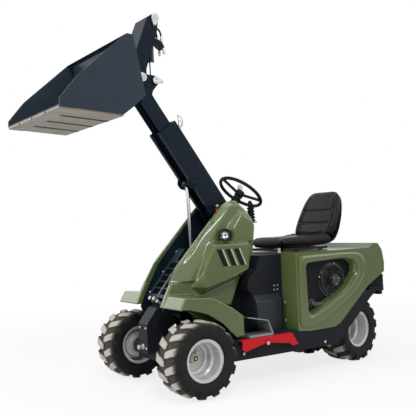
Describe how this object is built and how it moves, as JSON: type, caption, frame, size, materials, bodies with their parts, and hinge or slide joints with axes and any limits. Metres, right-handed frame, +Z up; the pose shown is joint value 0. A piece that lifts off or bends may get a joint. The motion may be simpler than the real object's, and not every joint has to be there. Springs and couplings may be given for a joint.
{
  "type": "compact telescopic wheel loader",
  "caption": "Compact ride-on wheel loader with a raised telescopic boom, bucket on a quick hitch, front drive wheels and steered rear wheels.",
  "frame": {"origin": "middle of the machine's box, on the ground under the tyres", "axes": "+X forward toward the bucket, +Y to the driver's left, +Z up"},
  "size_m": [2.731, 1.15, 2.628],
  "materials": {
    "olive": "glossy moulded panel",
    "navy": "satin paint",
    "charcoal": "satin paint",
    "slate": "worn satin paint",
    "black_plastic": "matte",
    "black_paint": "satin paint",
    "rim_silver": "silver paint",
    "tyre": "matte rubber",
    "steel": "bare",
    "chrome": "polished rod",
    "red": "gloss paint",
    "vinyl": "grained vinyl",
    "iron": "cast",
    "grille": "satin paint",
    "tread_metal": "tread plate",
    "strip_steel": "worn bare steel",
    "lamp": "reflector"
  },
  "bodies": {
    "machine": {"chassis_frame": "charcoal", "floor_deck": "charcoal", "footrest_left": "tread_metal", "footrest_right": "tread_metal", "boom_lock": "red", "tower_frame": "navy", "grille_panel": "grille", "front_post": "charcoal", "tower_cover_left": "olive", "tower_cover_right": "olive", "headlamp_left": "lamp", "headlamp_right": "lamp", "hub_motor_left": "iron", "hub_motor_right": "iron", "rear_axle_beam": "charcoal", "steering_column": "black_plastic", "control_lever": "black_plastic", "seat_box": "navy", "seat_hinge": "steel", "rear_hood": "olive", "side_panel_left": "black_plastic", "side_panel_right": "black_plastic", "fan_guard": "black_plastic", "exhaust_pipe": "black_paint", "engine_block": "iron", "rear_box": "black_plastic"},
    "wheel_front_left": {"rim_front_left": "rim_silver", "tyre_front_left": "tyre"},
    "wheel_front_right": {"rim_front_right": "rim_silver", "tyre_front_right": "tyre"},
    "steering_left": {"knuckle_left": "charcoal"},
    "steering_right": {"knuckle_right": "charcoal"},
    "wheel_rear_left": {"rim_rear_left": "rim_silver", "tyre_rear_left": "tyre"},
    "wheel_rear_right": {"rim_rear_right": "rim_silver", "tyre_rear_right": "tyre"},
    "tie": {"steering_rod": "steel"},
    "hand_wheel": {"steering_wheel": "black_plastic"},
    "fan": {"fan_rotor": "black_plastic"},
    "seat_unit": {"seat_base": "black_paint", "seat": "vinyl"},
    "boom": {"boom_outer": "navy", "telescope_barrel": "black_paint"},
    "boom_slide": {"boom_inner": "navy", "telescope_rod": "chrome"},
    "lift_tube": {"lift_barrel": "black_paint"},
    "lift_bar": {"lift_rod": "chrome"},
    "tool": {"quick_hitch": "navy", "bucket": "slate", "wear_strips": "strip_steel"},
    "tilt_tube": {"tilt_barrel": "black_paint"},
    "tilt_bar": {"tilt_rod": "chrome"}
  },
  "joints": [
    {"name": "boom_lift", "type": "hinge", "parent": "machine", "child": "boom", "pos_m": [-0.0175, 0, 1.228], "axis": [0, -1, 0], "range_deg": [-79.5, 0]},
    {"name": "boom_slide_out", "type": "slide", "parent": "boom", "child": "boom_slide", "axis": [0.5807, 0, 0.8141], "range_m": [0, 0.35]},
    {"name": "bucket_tilt", "type": "hinge", "parent": "boom_slide", "child": "tool", "pos_m": [0.5966, 0, 2.16815], "axis": [0, 1, 0], "range_deg": [-60, 40]},
    {"name": "steer_left", "type": "hinge", "parent": "machine", "child": "steering_left", "pos_m": [-1.0725, 0.095, 0.254], "axis": [0, 0, 1], "range_deg": [-30, 10]},
    {"name": "seat_tip", "type": "hinge", "parent": "machine", "child": "seat_unit", "pos_m": [-0.4725, 0, 0.912], "axis": [0, 1, 0], "range_deg": [0, 50]},
    {"name": "steer_right", "type": "hinge", "parent": "machine", "child": "steering_right", "pos_m": [-1.0725, -0.095, 0.254], "axis": [0, 0, 1], "range_deg": [-31, 11]},
    {"name": "tie_slide", "type": "slide", "parent": "machine", "child": "tie", "axis": [0, 1, 0], "range_m": [-0.018, 0.053]},
    {"name": "hand_wheel_turn", "type": "hinge", "parent": "machine", "child": "hand_wheel", "pos_m": [-0.2695, 0, 1.367], "axis": [-0.6225, 0, 0.7826], "range_deg": [-91, 271]},
    {"name": "spin_front_left", "type": "hinge", "parent": "machine", "child": "wheel_front_left", "pos_m": [0.4725, 0.45, 0.254], "axis": [0, 1, 0], "continuous": true},
    {"name": "spin_front_right", "type": "hinge", "parent": "machine", "child": "wheel_front_right", "pos_m": [0.4725, -0.45, 0.254], "axis": [0, 1, 0], "continuous": true},
    {"name": "spin_rear_left", "type": "hinge", "parent": "steering_left", "child": "wheel_rear_left", "pos_m": [-1.09768, 0.2378, 0.254], "axis": [-0.1736, 0.9848, 0], "continuous": true},
    {"name": "spin_rear_right", "type": "hinge", "parent": "steering_right", "child": "wheel_rear_right", "pos_m": [-1.04732, -0.2378, 0.254], "axis": [-0.1736, 0.9848, 0], "continuous": true},
    {"name": "fan_spin", "type": "hinge", "parent": "machine", "child": "fan", "pos_m": [-0.8095, 0.375, 0.668], "axis": [0, 1, 0], "continuous": true},
    {"name": "lift_tube_turn", "type": "hinge", "parent": "machine", "child": "lift_tube", "pos_m": [0.1725, 0, 0.3], "axis": [0, -1, 0], "range_deg": [-30, 30]},
    {"name": "lift_bar_slide", "type": "slide", "parent": "lift_tube", "child": "lift_bar", "axis": [0.0364, 0, 0.9993], "range_m": [-0.5, 0.01]},
    {"name": "tilt_tube_turn", "type": "hinge", "parent": "tool", "child": "tilt_tube", "pos_m": [0.4805, 0, 2.6], "axis": [0, -1, 0], "range_deg": [-30, 30]},
    {"name": "tilt_bar_slide", "type": "slide", "parent": "tilt_tube", "child": "tilt_bar", "axis": [-0.0117, 0, -0.9999], "range_m": [-0.15, 0.13]}
  ],
  "couplings": [
    {"joint": "steer_right", "follows": "steer_left", "ratio": 1},
    {"joint": "tie_slide", "follows": "steer_left", "m_per_rad": -0.0985},
    {"joint": "hand_wheel_turn", "follows": "steer_left", "ratio": -9},
    {"joint": "lift_tube_turn", "follows": "boom_lift", "ratio": 0.0661},
    {"joint": "lift_bar_slide", "follows": "boom_lift", "m_per_rad": 0.2797},
    {"joint": "tilt_tube_turn", "follows": "bucket_tilt", "ratio": -0.0253},
    {"joint": "tilt_bar_slide", "follows": "bucket_tilt", "m_per_rad": 0.1046}
  ]
}
